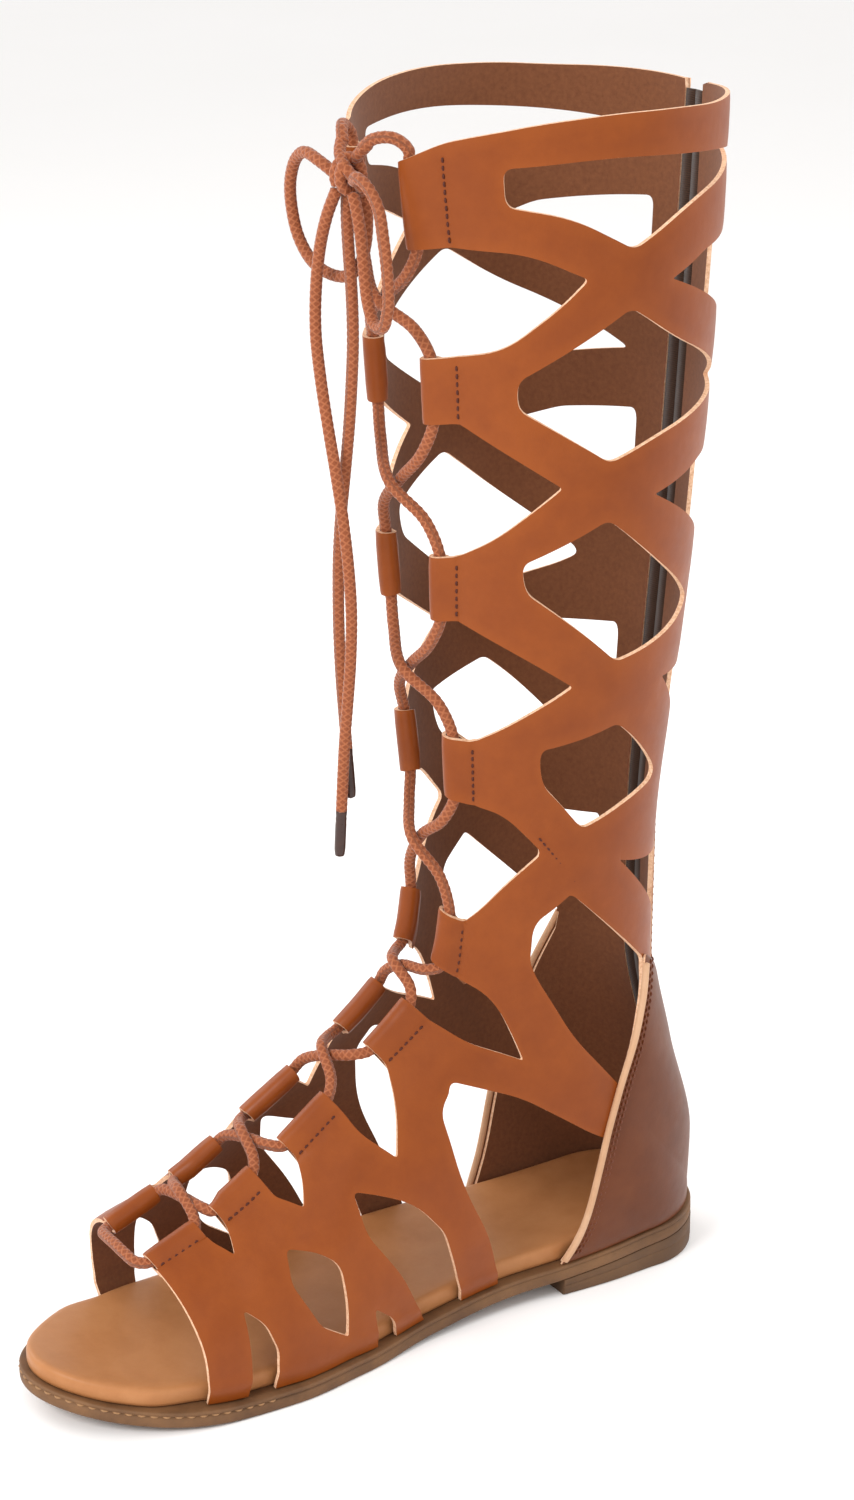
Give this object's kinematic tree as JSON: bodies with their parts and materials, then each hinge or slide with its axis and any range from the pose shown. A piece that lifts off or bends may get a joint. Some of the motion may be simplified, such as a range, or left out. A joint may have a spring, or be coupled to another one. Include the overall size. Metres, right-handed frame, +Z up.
{
  "type": "gladiator sandal",
  "caption": "Knee-high open-toe gladiator sandal, right foot, with a cut-out lattice shaft laced down the front through folded tabs and zipped at the back.",
  "frame": {"origin": "On the floor, at the middle of the flat bottom of the heel.", "axes": "+Z up, the toe points to -Y, +X is the medial (big-toe) side of this right shoe and -X the lateral side."},
  "size_m": [0.1156, 0.2735, 0.4315],
  "materials": {
    "outsole": "matte brown moulded outsole and heel",
    "footbed": "satin light tan wrapped footbed",
    "upper": "semi-gloss smooth cognac leather with pale cut edges",
    "zip": "dark brown woven zip tape",
    "lace": "round braided rust-tan lace",
    "aglet": "dark brown hardened lace tip",
    "metal": "antique brass zip slider and pull"
  },
  "bodies": {
    "shoe": {"outsole": "outsole", "heel_lift": "outsole", "footbed": "footbed", "upper": "upper", "heel_counter": "upper", "zip_tape": "zip", "zip_slider": "metal", "lace_crossing_1": "lace", "lace_crossing_2": "lace", "lace_crossing_3": "lace", "lace_crossing_4": "lace", "lace_crossing_5": "lace", "lace_crossing_6": "lace", "lace_crossing_7": "lace", "lace_crossing_8": "lace", "lace_bar": "lace", "lace_knot": "lace", "bow_loop_lateral": "lace", "bow_loop_medial": "lace", "lace_end_long": "lace", "lace_end_short": "lace", "aglet_long": "aglet", "aglet_short": "aglet"},
    "pull": {"zip_pull": "metal"}
  },
  "joints": [
    {"name": "pull_hinge", "type": "hinge", "parent": "shoe", "child": "pull", "pos_m": [0, 0.0372, 0.4147], "axis": [1, 0, 0], "range_deg": [0, 150]}
  ]
}
